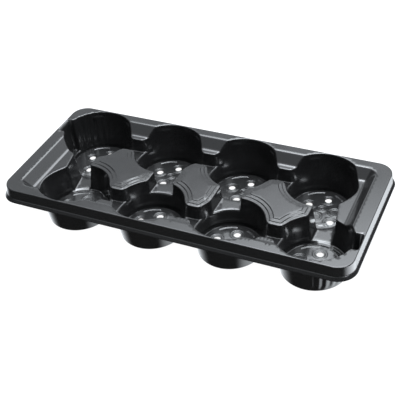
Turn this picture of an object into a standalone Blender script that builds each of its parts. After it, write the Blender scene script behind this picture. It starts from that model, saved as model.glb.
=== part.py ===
"""Eight-pocket plant pot carry tray, vacuum formed from one black sheet.

The formed regions of the sheet are separate objects: rim, skirt, lip, shoulders, islands, webs, saddles,
necks, pocket walls and pocket floors. Units are metres, +Z is up. The origin is under the middle of the
tray, on the surface that the tray stands on. The tray maps onto itself when it is turned by 180 degrees.
"""
import math

import bmesh
import bpy
from mathutils import Vector

# Sheet
SHEET = 0.0010            # thickness of the formed sheet
GAP = 0.0003              # clearance between neighbouring regions
OVERSHOOT = 0.001         # a cutter runs past the face that it cuts by this much
MERGE = 0.00001           # points closer than this are one point
SMOOTH_ANGLE = math.radians(30.0)

# Rim
LENGTH = 0.552            # outer top edge of the rim, along X
WIDTH = 0.243             # outer top edge of the rim, along Y
HEIGHT = 0.067            # rim top above the surface that the tray stands on
CORNER_RADIUS = 0.025
BAND_END = 0.0218         # flat band on the short sides
BAND_SIDE = 0.0174        # flat band on the long sides
SKIRT_DROP = 0.0205
SKIRT_FLARE = 0.0038
LIP_REACH = 0.0020        # the lip beyond the foot of the skirt
LIP_INWARD = 0.0009

# Levels of the top surface
DECK_DROP = 0.0146
WEB_DROP = 0.0377
NECK_DROP = 0.0608
PLATEAU_DROP = 0.0613
DECK_Z = HEIGHT - DECK_DROP
WEB_Z = HEIGHT - WEB_DROP
NECK_Z = HEIGHT - NECK_DROP
PLATEAU_Z = HEIGHT - PLATEAU_DROP

# Sloped band between the rim and the deck
SLOPE_RUN = 0.0145
SLOPE_START = 0.0008      # the slope starts this far inside the flat band
PAN_TOP_RADIUS = 0.013
PAN_FOOT_RADIUS = 0.006

# Pockets
PITCH = 0.129             # along a row
ROW_SHIFT = 0.0152        # the back row is shifted to -X and the front row to +X
ROW_Y = 0.0615
POCKET_TOP_RADIUS = 0.0578
POCKET_FOOT_RADIUS = 0.0484
PLATEAU_RADIUS = 0.0439
GUTTER_RADIUS = 0.0449
DRAIN_RADIUS = 0.0052
DRAIN_CIRCLE = 0.0219
DRAIN_CENTRE = (0.0024, -0.0007)
DRAIN_TURN = -10.0        # degrees
DRAIN_SIDES = 12
SEGMENTS = 40

# Fluted bulge in the outer wall of the two pockets nearest the short sides
FLUTE_TOP_REACH = 0.0650
FLUTE_FOOT_REACH = 0.0563
FLUTE_TOP_HALF = 0.0165
FLUTE_FOOT_HALF = 0.0140
FLUTE_FOOT_Z = 0.0080
FLUTE_ROOT = 0.030        # the bulge starts this far from the pocket's axis, inside the hollow

# Islands, tongues and lobes
ISLAND_TIP_Y = 0.0501
OUTER_ISLAND_NEAR = 0.0760
OUTER_ISLAND_FAR = 0.1832
CENTRE_ISLAND_TIP = 0.0365
TONGUE_Y = 0.0792
LOBE_TIP = 0.2175
DEEP_TIP = 0.012          # length of an outer island's tip that reaches down to the neck

# Half widths of strips and blocks, before the pockets beside them are cut away
CHANNEL_HALF = 0.030
SHOULDER_HALF = 0.045
WEB_HALF = 0.028
SADDLE_HALF = 0.020
NECK_HALF = 0.024

BLACK = (0.012, 0.013, 0.015)
SHADES = {"flange": 1.2, "skirt": 0.9, "lip": 0.8, "slope": 1.1, "island": 1.3, "channel": 1.0, "wall": 0.8,
          "floor": 1.0}

DECK_HALF_X = LENGTH / 2 - BAND_END - SLOPE_RUN
DECK_HALF_Y = WIDTH / 2 - BAND_SIDE - SLOPE_RUN
SLOPE_RATE = DECK_DROP / SLOPE_RUN
WALL_RATE = (POCKET_TOP_RADIUS - POCKET_FOOT_RADIUS) / HEIGHT


def clear_scene():
    for item in list(bpy.data.objects):
        bpy.data.objects.remove(item, do_unlink=True)


def collection(name):
    group = bpy.data.collections.new(name)
    bpy.context.scene.collection.children.link(group)
    return group


def plastic(name, shade):
    material = bpy.data.materials.new(name)
    material.use_nodes = True
    shader = material.node_tree.nodes["Principled BSDF"]
    shader.inputs["Base Color"].default_value = tuple(c * shade for c in BLACK) + (1.0,)
    shader.inputs["Roughness"].default_value = 0.28
    shader.inputs["Metallic"].default_value = 0.0
    return material


def add_mesh(name, mesh, group):
    item = bpy.data.objects.new(name, mesh)
    group.objects.link(item)
    return item


def from_bmesh(name, bm, group):
    bmesh.ops.recalc_face_normals(bm, faces=bm.faces)
    mesh = bpy.data.meshes.new(name)
    bm.to_mesh(mesh)
    bm.free()
    return add_mesh(name, mesh, group)


def as_cutter(item):
    item.hide_render = True
    item.display_type = "WIRE"
    return item


def bake(item):
    """Replace an object's mesh by its evaluated one, and drop its modifiers."""
    bpy.context.view_layer.update()
    view = item.evaluated_get(bpy.context.evaluated_depsgraph_get())
    mesh = bpy.data.meshes.new_from_object(view)
    item.modifiers.clear()
    item.data = mesh
    return item


def box(name, low, high, group):
    bm = bmesh.new()
    bmesh.ops.create_cube(bm, size=1.0)
    low, high = Vector(low), Vector(high)
    bmesh.ops.scale(bm, vec=high - low, verts=bm.verts)
    bmesh.ops.translate(bm, vec=(low + high) / 2, verts=bm.verts)
    return from_bmesh(name, bm, group)


def turned(name, profile, centre, group):
    """A profile of (radius, height) points, turned about the vertical axis through centre."""
    mesh = bpy.data.meshes.new(name)
    edges = [(i, i + 1) for i in range(len(profile) - 1)]
    mesh.from_pydata([(r, 0.0, z) for r, z in profile], edges, [])
    item = add_mesh(name, mesh, group)
    item.location = (centre[0], centre[1], 0.0)
    screw = item.modifiers.new("Turn", "SCREW")
    screw.steps = SEGMENTS
    screw.render_steps = SEGMENTS
    screw.use_merge_vertices = True
    screw.merge_threshold = MERGE
    return item


def rounded_rectangle(half_x, half_y, radius, steps=8):
    points = []
    for corner, (sx, sy) in enumerate(((1, 1), (-1, 1), (-1, -1), (1, -1))):
        for step in range(steps + 1):
            angle = math.radians(90.0) * (corner + step / steps)
            points.append((sx * (half_x - radius) + radius * math.cos(angle),
                           sy * (half_y - radius) + radius * math.sin(angle)))
    return points


def loft(name, sections, group, cap_first=True, cap_last=True):
    """Join closed outlines of equal point count, each given as (points, height)."""
    bm = bmesh.new()
    loops = [[bm.verts.new((x, y, z)) for x, y in points] for points, z in sections]
    for lower, upper in zip(loops, loops[1:]):
        for i in range(len(lower)):
            k = (i + 1) % len(lower)
            bm.faces.new((lower[i], lower[k], upper[k], upper[i]))
    if cap_first:
        bm.faces.new(reversed(loops[0]))
    if cap_last:
        bm.faces.new(loops[-1])
    return from_bmesh(name, bm, group)


def plate(name, outlines, low, high, group):
    """A flat plate between two heights, from an outline and the outlines of its openings."""
    curve = bpy.data.curves.new(name, "CURVE")
    curve.dimensions = "2D"
    curve.fill_mode = "BOTH"
    curve.extrude = (high - low) / 2
    for outline in outlines:
        spline = curve.splines.new("POLY")
        spline.points.add(len(outline) - 1)
        for point, (x, y) in zip(spline.points, outline):
            point.co = (x, y, 0.0, 1.0)
        spline.use_cyclic_u = True
    source = bpy.data.objects.new(name + "_outline", curve)
    group.objects.link(source)
    bpy.context.view_layer.update()
    mesh = bpy.data.meshes.new_from_object(source.evaluated_get(bpy.context.evaluated_depsgraph_get()))
    bpy.data.objects.remove(source, do_unlink=True)
    bm = bmesh.new()
    bm.from_mesh(mesh)
    bmesh.ops.remove_doubles(bm, verts=bm.verts, dist=MERGE)
    bmesh.ops.translate(bm, vec=(0.0, 0.0, (low + high) / 2), verts=bm.verts)
    return from_bmesh(name, bm, group)


def boolean(item, other, operation="DIFFERENCE", solver="EXACT"):
    modifier = item.modifiers.new(operation.title(), "BOOLEAN")
    modifier.operation = operation
    modifier.solver = solver
    modifier.object = other
    return item


def thicken(item):
    """Thicken an open surface to the sheet, away from the side that its normals point to."""
    modifier = item.modifiers.new("Sheet", "SOLIDIFY")
    modifier.thickness = SHEET
    modifier.offset = -1.0
    modifier.use_even_offset = True
    return item


def finish(item, kind):
    """Give a finished region its material and shade its round faces smooth."""
    item.data.materials.clear()
    item.data.materials.append(plastic(item.name, SHADES[kind]))
    item.data.shade_smooth()
    item.data.set_sharp_from_angle(angle=SMOOTH_ANGLE)


def pocket_centres():
    """Pocket centres by name, left to right in the back row and in the front row."""
    centres = {}
    for i in range(4):
        along = PITCH * (i - 1.5)
        centres["back_%d" % (i + 1)] = (along - ROW_SHIFT, ROW_Y)
        centres["front_%d" % (i + 1)] = (along + ROW_SHIFT, -ROW_Y)
    return centres


def wall_radius(z):
    return POCKET_FOOT_RADIUS + WALL_RATE * z


def pocket_solid(name, centre, grow, low, high, flute_side, group):
    """The hollow of a pocket as a solid, grown sideways, with the bulge on its flute side."""
    profile = [(0.0, high), (wall_radius(high) + grow, high), (wall_radius(low) + grow, low), (0.0, low)]
    solid = bake(turned(name, profile, centre, group))
    if not flute_side:
        return as_cutter(solid)

    def reach(z):
        share = z / HEIGHT
        return FLUTE_FOOT_REACH + (FLUTE_TOP_REACH - FLUTE_FOOT_REACH) * share + grow

    def half(z):
        share = z / HEIGHT
        return FLUTE_FOOT_HALF + (FLUTE_TOP_HALF - FLUTE_FOOT_HALF) * share + grow

    def section(z):
        near, far, wide = FLUTE_ROOT * flute_side, reach(z) * flute_side, half(z)
        return [(centre[0] + near, centre[1] - wide), (centre[0] + far, centre[1] - wide),
                (centre[0] + far, centre[1] + wide), (centre[0] + near, centre[1] + wide)]

    foot = FLUTE_FOOT_Z - grow
    bulge = loft(name + "_bulge", [(section(foot), foot), (section(high), high)], group)
    solid = bake(boolean(solid, bulge, "UNION"))
    bpy.data.objects.remove(bulge, do_unlink=True)
    return as_cutter(solid)


def pan_outline(drop):
    """Outline of the sloped band at a given drop below the rim."""
    run = drop / SLOPE_RATE
    share = drop / DECK_DROP
    radius = PAN_TOP_RADIUS + (PAN_FOOT_RADIUS - PAN_TOP_RADIUS) * share
    return rounded_rectangle(LENGTH / 2 - BAND_END - run, WIDTH / 2 - BAND_SIDE - run, radius)


def air_solids(centres, group):
    """Open space above the deck: over the whole deck, and down in the channels between pockets."""
    top = HEIGHT + OVERSHOOT
    sections = [(pan_outline(DECK_DROP), DECK_Z), (pan_outline(-OVERSHOOT), top)]
    solids = {"deck": loft("air_deck", sections, group)}
    for row, side in (("back", 1), ("front", -1)):
        for i in range(1, 4):
            middle = (centres["%s_%d" % (row, i)][0] + centres["%s_%d" % (row, i + 1)][0]) / 2
            low_y, high_y = sorted((side * ISLAND_TIP_Y, side * TONGUE_Y))
            solids["web_%s_%d" % (row, i)] = box("air_web", (middle - CHANNEL_HALF, low_y, WEB_Z),
                                                 (middle + CHANNEL_HALF, high_y, top), group)
    for name, side in (("right", 1), ("left", -1)):
        near, far = sorted((side * CENTRE_ISLAND_TIP, side * OUTER_ISLAND_NEAR))
        solids["saddle_" + name] = box("air_saddle", (near, -CHANNEL_HALF, WEB_Z),
                                       (far, CHANNEL_HALF, top), group)
        near, far = sorted((side * OUTER_ISLAND_FAR, side * LOBE_TIP))
        solids["neck_" + name] = box("air_neck", (near, -CHANNEL_HALF, NECK_Z),
                                     (far, CHANNEL_HALF, top), group)
    for solid in solids.values():
        as_cutter(solid)
    return solids


def channels_of(row, i):
    """Names of the channels that open into a pocket."""
    names = ["web_%s_%d" % (row, k) for k in (i - 1, i) if 1 <= k <= 3]
    names.append({1: "neck_left", 2: "saddle_left", 3: "saddle_right", 4: "neck_right"}[i])
    return names


def flute_side(row, i):
    return {("back", 1): -1, ("front", 4): 1}.get((row, i), 0)


def make_rim(clearances, group):
    flange = plate("rim_flange", [rounded_rectangle(LENGTH / 2, WIDTH / 2, CORNER_RADIUS), pan_outline(0.0)],
                   HEIGHT - SHEET, HEIGHT, group)
    for solid in clearances.values():
        boolean(flange, solid)
    finish(flange, "flange")

    start, foot = SHEET + GAP, SKIRT_DROP - SHEET - GAP
    sections = []
    for drop in (start, SKIRT_DROP * 0.5, foot):
        flare = SKIRT_FLARE * drop / SKIRT_DROP
        sections.append((rounded_rectangle(LENGTH / 2 + flare, WIDTH / 2 + flare, CORNER_RADIUS + flare),
                         HEIGHT - drop))
    skirt = thicken(loft("rim_skirt", sections[::-1], group, cap_first=False, cap_last=False))
    finish(skirt, "skirt")

    outer, inner = SKIRT_FLARE + LIP_REACH, SKIRT_FLARE - LIP_INWARD
    low = HEIGHT - SKIRT_DROP
    lip = plate("edge_lip", [rounded_rectangle(LENGTH / 2 + g, WIDTH / 2 + g, CORNER_RADIUS + g)
                             for g in (outer, inner)], low, low + SHEET, group)
    finish(lip, "lip")


def make_shoulder(name, middle, side, neighbours, group):
    """Slope, ledge and end wall between two pockets of a row, bent from one strip across X."""
    top_y = WIDTH / 2 - BAND_SIDE - SLOPE_START
    top_z = HEIGHT - SLOPE_START * SLOPE_RATE
    path = [(top_y, top_z), (DECK_HALF_Y, DECK_Z), (TONGUE_Y, DECK_Z), (TONGUE_Y, WEB_Z - SHEET)]
    bm = bmesh.new()
    rows = [[bm.verts.new((middle + x, side * y, z)) for y, z in path]
            for x in (-SHOULDER_HALF, SHOULDER_HALF)]
    for k in range(len(path) - 1):
        face = [rows[0][k], rows[0][k + 1], rows[1][k + 1], rows[1][k]]
        bm.faces.new(face if side > 0 else reversed(face))
    mesh = bpy.data.meshes.new(name)
    bm.to_mesh(mesh)
    bm.free()
    item = thicken(add_mesh(name, mesh, group))
    for solid in neighbours:
        boolean(item, solid)
    finish(item, "slope")


def make_end_deck(name, side, neighbours, group, cutters):
    """Slope and deck at one short side, with the lobe that reaches in between two pockets."""
    start = SLOPE_START * SLOPE_RATE
    deck = loft(name, [(pan_outline(DECK_DROP), DECK_Z), (pan_outline(start), HEIGHT - start)], group,
                cap_first=True, cap_last=False)
    bm = bmesh.new()
    bm.from_mesh(deck.data)
    bottom = min(bm.faces, key=lambda face: face.calc_center_median().z)
    if bottom.normal.z < 0:
        bmesh.ops.reverse_faces(bm, faces=bm.faces)
    bm.to_mesh(deck.data)
    bm.free()
    thicken(deck)
    near, far = sorted((side * LOBE_TIP, side * LENGTH / 2))
    low_y, high_y = sorted((-side * ROW_Y, side * WIDTH / 2))
    region = as_cutter(box(name + "_region", (near, low_y, 0.0), (far, high_y, HEIGHT + OVERSHOOT), cutters))
    boolean(deck, region, "INTERSECT")
    near, far = sorted((side * LOBE_TIP, side * (LOBE_TIP + SHEET)))
    wall = as_cutter(box(name + "_wall", (near, -CHANNEL_HALF, NECK_Z - SHEET),
                         (far, CHANNEL_HALF, DECK_Z - SHEET / 2), cutters))
    boolean(deck, wall, "UNION")
    for solid in neighbours:
        boolean(deck, solid)
    finish(deck, "slope")


def make_island(name, low_x, high_x, deep_side, clearances, group, cutters):
    """Top plate with a short wall at each tip; the deep side's wall reaches down to the neck."""
    foot = (NECK_Z if deep_side else WEB_Z) - SHEET
    item = box(name, (low_x, -ISLAND_TIP_Y, foot), (high_x, ISLAND_TIP_Y, DECK_Z), group)
    inside = as_cutter(box(name + "_inside", (low_x + SHEET, -ISLAND_TIP_Y + SHEET, foot - SHEET),
                           (high_x - SHEET, ISLAND_TIP_Y - SHEET, DECK_Z - SHEET), cutters))
    boolean(item, inside)
    if deep_side:
        if deep_side > 0:
            left, right = low_x - OVERSHOOT, high_x - DEEP_TIP
        else:
            left, right = low_x + DEEP_TIP, high_x + OVERSHOOT
        below = as_cutter(box(name + "_below", (left, -WIDTH / 2, foot - SHEET),
                              (right, WIDTH / 2, WEB_Z - SHEET), cutters))
        boolean(item, below)
    for solid in clearances:
        boolean(item, solid)
    finish(item, "island")


def make_channel_floor(name, low, high, top, clearances, group):
    """Flat bottom of a channel between pockets."""
    item = box(name, (low[0] + GAP, low[1] + GAP, top - SHEET), (high[0] - GAP, high[1] - GAP, top), group)
    for solid in clearances:
        boolean(item, solid)
    finish(item, "channel")


def make_pocket_wall(name, centre, flute, air, group, cutters):
    item = pocket_solid(name, centre, SHEET, 0.0, HEIGHT, flute, group)
    item.hide_render = False
    item.display_type = "TEXTURED"
    inside = pocket_solid(name + "_inside", centre, 0.0, -OVERSHOOT, HEIGHT + OVERSHOOT, flute,
                          cutters)
    boolean(item, inside)
    for solid in air:
        boolean(item, solid, solver="MANIFOLD")
    finish(item, "wall")


def make_pocket_floor(name, centre, turn, group, cutters):
    """Raised floor inside a gutter, with four drain holes; turn is 0 or 180 degrees."""
    rim = wall_radius(0.0) - GAP
    profile = [(0.0, PLATEAU_Z), (PLATEAU_RADIUS, PLATEAU_Z), (GUTTER_RADIUS, SHEET), (rim, SHEET), (rim, 0.0),
               (GUTTER_RADIUS - SHEET, 0.0), (PLATEAU_RADIUS - SHEET, PLATEAU_Z - SHEET), (0.0, PLATEAU_Z - SHEET)]
    item = turned(name, profile, centre, group)
    sign = -1.0 if turn else 1.0
    for k in range(4):
        angle = math.radians(DRAIN_TURN + 90.0 * k)
        x = centre[0] + sign * (DRAIN_CENTRE[0] + DRAIN_CIRCLE * math.cos(angle))
        y = centre[1] + sign * (DRAIN_CENTRE[1] + DRAIN_CIRCLE * math.sin(angle))
        bm = bmesh.new()
        bmesh.ops.create_cone(bm, cap_ends=True, segments=DRAIN_SIDES, radius1=DRAIN_RADIUS,
                              radius2=DRAIN_RADIUS, depth=2 * PLATEAU_Z)
        bmesh.ops.translate(bm, vec=(x, y, PLATEAU_Z), verts=bm.verts)
        drill = as_cutter(from_bmesh("%s_drain_%d" % (name, k + 1), bm, cutters))
        boolean(item, drill)
    finish(item, "floor")


def main():
    clear_scene()
    tray = collection("pot_carry_tray")
    cutters = collection("cutters")
    centres = pocket_centres()
    air = air_solids(centres, cutters)
    clearances = {}
    for name, centre in centres.items():
        row, i = name.split("_")
        clearances[name] = pocket_solid("clear_" + name, centre, SHEET + GAP, -OVERSHOOT, HEIGHT + OVERSHOOT,
                                        flute_side(row, int(i)), cutters)

    make_rim(clearances, tray)

    for row, side in (("back", 1), ("front", -1)):
        for i in range(1, 4):
            first, second = "%s_%d" % (row, i), "%s_%d" % (row, i + 1)
            middle = (centres[first][0] + centres[second][0]) / 2
            pair = [clearances[first], clearances[second]]
            make_shoulder("shoulder_%s_%d" % (row, i), middle, side, pair, tray)
            low_y, high_y = sorted((side * ISLAND_TIP_Y, side * TONGUE_Y))
            make_channel_floor("web_%s_%d" % (row, i), (middle - WEB_HALF, low_y),
                               (middle + WEB_HALF, high_y), WEB_Z, pair, tray)

    make_end_deck("end_deck_right", 1, [clearances["back_4"], clearances["front_4"]], tray, cutters)
    make_end_deck("end_deck_left", -1, [clearances["back_1"], clearances["front_1"]], tray, cutters)

    around = {"left": (1, 2), "centre": (2, 3), "right": (3, 4)}
    spans = {"left": (-OUTER_ISLAND_FAR, -OUTER_ISLAND_NEAR, -1),
             "centre": (-CENTRE_ISLAND_TIP, CENTRE_ISLAND_TIP, 0),
             "right": (OUTER_ISLAND_NEAR, OUTER_ISLAND_FAR, 1)}
    for name, columns in around.items():
        near = [clearances["%s_%d" % (row, i)] for row in ("back", "front") for i in columns]
        low_x, high_x, deep = spans[name]
        make_island("island_" + name, low_x, high_x, deep, near, tray, cutters)

    for name, side, saddle_column, neck_column in (("right", 1, 3, 4), ("left", -1, 2, 1)):
        for kind, column, ends, top, half in (
                ("saddle", saddle_column, (CENTRE_ISLAND_TIP, OUTER_ISLAND_NEAR), WEB_Z, SADDLE_HALF),
                ("neck", neck_column, (OUTER_ISLAND_FAR, LOBE_TIP), NECK_Z, NECK_HALF)):
            low_x, high_x = sorted((side * ends[0], side * ends[1]))
            pair = [clearances["back_%d" % column], clearances["front_%d" % column]]
            make_channel_floor("%s_%s" % (kind, name), (low_x, -half), (high_x, half), top, pair, tray)

    for name, centre in centres.items():
        row, i = name.split("_")
        spaces = [air["deck"]] + [air[key] for key in channels_of(row, int(i))]
        make_pocket_wall("pocket_wall_" + name, centre, flute_side(row, int(i)), spaces, tray, cutters)
        make_pocket_floor("pocket_floor_" + name, centre, row == "front", tray, cutters)


main()
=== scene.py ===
"""Looks of the plant pot carry tray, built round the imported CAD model.

The real tray is one thin black sheet, formed over a mould. Its upper surface is one height over the plan: for
each point of the plan it lies where the air above the tray begins. air() gives that space as a clearance,
from planes, cones and walls that are joined with rounded edges and filled corners. A triangulation of the
plan, with lines along the edges, is lifted onto that surface, given the sheet's thickness, and cut into one
closed piece for each CAD node. Lengths are metres, and +X, +Y and +Z are the frame's.
"""
import math
from types import SimpleNamespace

import bpy
import numpy as np
from mathutils import Matrix, Vector
from mathutils.geometry import delaunay_2d_cdt


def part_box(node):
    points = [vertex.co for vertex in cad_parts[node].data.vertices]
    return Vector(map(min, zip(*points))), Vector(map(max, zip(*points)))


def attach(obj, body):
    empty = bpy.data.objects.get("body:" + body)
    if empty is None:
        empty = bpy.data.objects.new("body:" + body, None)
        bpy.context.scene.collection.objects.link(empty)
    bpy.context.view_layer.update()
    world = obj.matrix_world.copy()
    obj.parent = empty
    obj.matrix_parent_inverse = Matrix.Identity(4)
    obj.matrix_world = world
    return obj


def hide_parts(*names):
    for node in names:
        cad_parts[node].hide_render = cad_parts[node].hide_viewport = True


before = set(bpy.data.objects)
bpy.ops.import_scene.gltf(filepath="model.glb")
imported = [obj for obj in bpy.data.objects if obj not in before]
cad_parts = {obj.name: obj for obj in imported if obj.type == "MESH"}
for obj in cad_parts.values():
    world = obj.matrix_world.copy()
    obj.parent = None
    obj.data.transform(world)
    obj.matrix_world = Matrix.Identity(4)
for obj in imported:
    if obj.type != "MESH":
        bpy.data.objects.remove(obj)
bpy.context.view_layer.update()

MM = 0.001

# ---------------------------------------------------------------- sizes

HALF_X, HALF_Y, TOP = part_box("rim_flange")[1]
lip_low, lip_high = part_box("edge_lip")
LIP_BASE = lip_low.z
LIP_OUT = lip_high.x - HALF_X
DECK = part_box("island_centre")[1].z
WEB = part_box("web_back_1")[1].z
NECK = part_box("neck_right")[1].z
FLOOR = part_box("pocket_floor_back_1")[1].z
TONGUE_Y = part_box("shoulder_back_1")[0].y
ISLAND_TIP_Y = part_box("island_centre")[1].y
CENTRE_TIP_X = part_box("island_centre")[1].x
OUTER_NEAR_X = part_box("island_right")[0].x
OUTER_FAR_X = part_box("island_right")[1].x
LOBE_TIP_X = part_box("end_deck_right")[0].x

SHEET = 0.8 * MM
RIM_CORNER = 25 * MM
BAND_END = 21.8 * MM      # width of the flat rim at the short sides
BAND_SIDE = 17.4 * MM     # and at the long sides
PAN_CORNER = 17 * MM
PAN_X = HALF_X - BAND_END
PAN_Y = HALF_Y - BAND_SIDE

SKIRT_FLARE = 2.0 * MM
LIP_TOP = LIP_BASE + 5.0 * MM
LIP_LEDGE = SKIRT_FLARE + 0.5 * MM
LIP_FALL = 1.4            # steepness of the lip outside its ledge
LIP_EDGE = LIP_OUT - 0.3 * MM
LIP_EDGE_RATE = 0.03
LIP_CUT = LIP_EDGE + 0.1 * MM  # the sheet is trimmed here

FOOT_RADIUS = 48.4 * MM
OUTWARD_RATE = 0.1403     # growth of a pocket's radius with height, away from the islands
ISLAND_RATE = 0.0800      # the same at the islands
ISLAND_LEAN = (-0.45, 0.15)    # sines of the directions between which one rate passes into the other
GUTTER = 1.0 * MM
PLATEAU_RADIUS = 43.9 * MM
PLATEAU_RATE = 0.20

DRAIN_RADIUS = 5.2 * MM
DRAIN_CIRCLE = 21.9 * MM
DRAIN_CENTRE = (2.4 * MM, -0.7 * MM)
DRAIN_TURN = math.radians(-10)
# The end pockets: places with rings but no hole, and holes elsewhere
UNPUNCHED = {"back_1": (3,), "back_4": (0, 3), "front_1": (0, 3), "front_4": (0,)}
EXTRA_HOLES = {"back_1": ((-7.5 * MM, -29 * MM),), "back_4": ((23.6 * MM, -28.4 * MM),)}

BULGE_REACH = 66.0 * MM   # fluted bulge, at the rim
BULGE_HALF = 16.5 * MM
BULGE_REACH_RATE = 0.13
BULGE_HALF_RATE = 0.06
BULGE_FLOOR = 8.0 * MM
BULGE_CORNER = 4 * MM
BULGE_FILLET = 2 * MM
BULGE_EDGE = 2.5 * MM

CHANNEL_DRAFT = 0.05
NECK_DRAFT = 0.12
WEB_HALF = 18 * MM        # a channel's space ends inside the pockets on either side
SADDLE_HALF = 34 * MM
NECK_HALF = 42 * MM
LOBE_SLANT = 0.2
LOBE_TIP_Y = 22 * MM
NECK_LEAN = 0.30          # sideways lean of a neck's mouth in an end pocket
NECK_MOUTH = (0.80, 0.93)      # the gutter fills up between these, where 1 faces the neck

# End walls of the shoulders and islands: half of the straight middle, and the bend beyond it
TONGUE_FLAT = 6 * MM
TONGUE_BEND = 18 * MM
ISLAND_FLAT = 5 * MM
ISLAND_BEND = 20 * MM

PANEL_STEPS = (4.8 * MM, 10.5 * MM)
PANEL_RISE = 1.5 * MM
PANEL_SLOPE = 1.7 * MM
PANEL_CORNER = 6 * MM
PANEL_CORNER_REACH = 14 * MM   # corners are only rounded this near to an island's end
ISLAND_SIDE_RADIUS = FOOT_RADIUS + ISLAND_RATE * DECK
# Where the islands of one side end along X, and whether that end faces outward, 1, or inward, -1
ISLAND_ENDS = ((CENTRE_TIP_X, 1), (OUTER_NEAR_X, -1), (OUTER_FAR_X, 1))

# Ribs and rings on the pocket floors; the ribs as (middle, half length) in degrees, with ends that fade
RIM_RIBS = ((118, 22), (58, 14))
RIM_RIB_RADIUS = 38.2 * MM
RIM_RIB_HALF = 1.9 * MM
RIM_RIB_RISE = 0.9 * MM
RIM_RIB_END = 2
DRAIN_RINGS = (7.6 * MM, 10.6 * MM)
MIDDLE_RINGS = (3.5 * MM, 7.0 * MM)
RING_HALF = 0.9 * MM
RING_RISE = 0.6 * MM

# Stacking pads on the pocket walls, as (middle, half length) in degrees, and the heights between which they
# come out of the wall and go back
WALL_PADS = ((118, 9), (52, 7))
PAD_SIDE = 1.5
PAD_DEPTH = 1.0 * MM
PAD_FOOT = (34 * MM, 57 * MM)
PAD_TOP = (58.5 * MM, 60.5 * MM)

# Flutes at the bulges: the angles in degrees, and the heights, between which they come and go
FLUTES_START = (98, 106)
FLUTES_END = (158, 166)
FLUTE_FOOT = (2 * MM, 12 * MM)
FLUTE_CREST = 102
FLUTE_PITCH = 12
FLUTE_DEPTH = 0.5 * MM

# Roundings
RIM_EDGE = 1.3 * MM
LIP_FILLET = 0.5 * MM
DECK_FILLET = 2.2 * MM
TOP_EDGE = 1.4 * MM
WALL_CORNER = 3.5 * MM
CHANNEL_FILLET = 2.0 * MM
CHANNEL_CORNER = 2.0 * MM
FLOOR_EDGE = 0.9 * MM
GUTTER_FILLET = 1.0 * MM
POCKET_FILLET = 1.6 * MM
LIP_ROUND = 0.4 * MM

# Computing
POCKET_REACH = 72 * MM    # no point of a pocket is farther from its centre
NO_SPACE = -1.0           # clearance where there is no space at all
HALVINGS = 26
NORMAL_STEP = 0.05 * MM


def pocket_list():
    """Each pocket's centre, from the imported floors, its side, and the ends that its bulge and neck are at."""
    pockets = []
    for row, side in (("back", 1), ("front", -1)):
        for number in range(1, 5):
            name = "%s_%d" % (row, number)
            low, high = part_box("pocket_floor_" + name)
            middle = (low + high) / 2
            bulge = {"back_1": -1, "front_4": 1}.get(name, 0)
            neck = {"back_1": -1, "back_4": 1, "front_1": -1, "front_4": 1}.get(name, 0)
            pockets.append(SimpleNamespace(name=name, row=row, x=middle.x, y=middle.y, side=side, bulge=bulge,
                                           neck=neck))
    return pockets


def web_list():
    """Side and middle of each web, which lies between two pockets of a row."""
    webs = []
    for row in ("back", "front"):
        places = [pocket for pocket in POCKETS if pocket.row == row]
        for number, (before, after) in enumerate(zip(places, places[1:]), 1):
            middle = (before.x + after.x) / 2
            webs.append(SimpleNamespace(name="%s_%d" % (row, number), side=before.side, x=middle))
    return webs


POCKETS = pocket_list()
WEBS = web_list()


# ---------------------------------------------------------------- the space above the tray

def rounded_union(a, b, radius):
    """Clearance of two spaces taken together, with the edge between them rounded."""
    both = np.hypot(np.maximum(radius + a, 0), np.maximum(radius + b, 0))
    return both + np.minimum(-radius, np.maximum(a, b))


def rounded_meet(a, b, radius):
    """Clearance of the space that two spaces share, with the corner between them filled."""
    return -rounded_union(-a, -b, radius)


def smooth(value, low, high):
    """Goes smoothly from 0 to 1 as a value goes from low to high."""
    share = np.clip((value - low) / (high - low), 0, 1)
    return share * share * (3 - 2 * share)


def ridge(distance, half_width):
    """Smooth hump of height 1 where the distance is 0, which ends at half_width."""
    share = np.clip(np.abs(distance) / half_width, 0, 1)
    return (1 - share * share) ** 2


def inside_rectangle(x, y, half_x, half_y, corner):
    """How far a point lies inside a rectangle with round corners."""
    return rounded_meet(half_x - np.abs(x), half_y - np.abs(y), corner)


def outside_rim(x, y):
    """How far a point lies outside the rim's edge."""
    return -inside_rectangle(x, y, HALF_X, HALF_Y, RIM_CORNER)


def inside_pan(x, y):
    """How far a point lies inside the rim's inner edge."""
    return inside_rectangle(x, y, PAN_X, PAN_Y, PAN_CORNER)


def tongue_foot(u):
    """Foot of a shoulder's end wall, at a distance u from the shoulder's middle."""
    bend = np.maximum(np.abs(u) - TONGUE_FLAT, 0) ** 2 / TONGUE_BEND
    return TONGUE_Y - CHANNEL_DRAFT * (DECK - WEB) + bend


def island_foot(u):
    """Foot of an island's end wall, at a distance u from the tip's middle."""
    bend = np.maximum(np.abs(u) - ISLAND_FLAT, 0) ** 2 / ISLAND_BEND
    return ISLAND_TIP_Y + CHANNEL_DRAFT * (DECK - WEB) - bend


def island_distance(x, y):
    """How far a point of an island's top lies inside the island's outline."""
    distance = np.ones_like(x)
    for pocket in POCKETS:
        distance = np.minimum(distance, np.hypot(x - pocket.x, y - pocket.y) - ISLAND_SIDE_RADIUS)
    for web in WEBS:
        near = np.abs(x - web.x) < WEB_HALF
        distance = np.where(near, rounded_meet(distance, ISLAND_TIP_Y - web.side * y, PANEL_CORNER), distance)
    for side in (-1, 1):
        for end, facing in ISLAND_ENDS:
            inside = facing * (end - side * x)
            near = np.abs(inside) < PANEL_CORNER_REACH
            distance = np.where(near, rounded_meet(distance, inside, PANEL_CORNER), distance)
    return distance


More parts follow.
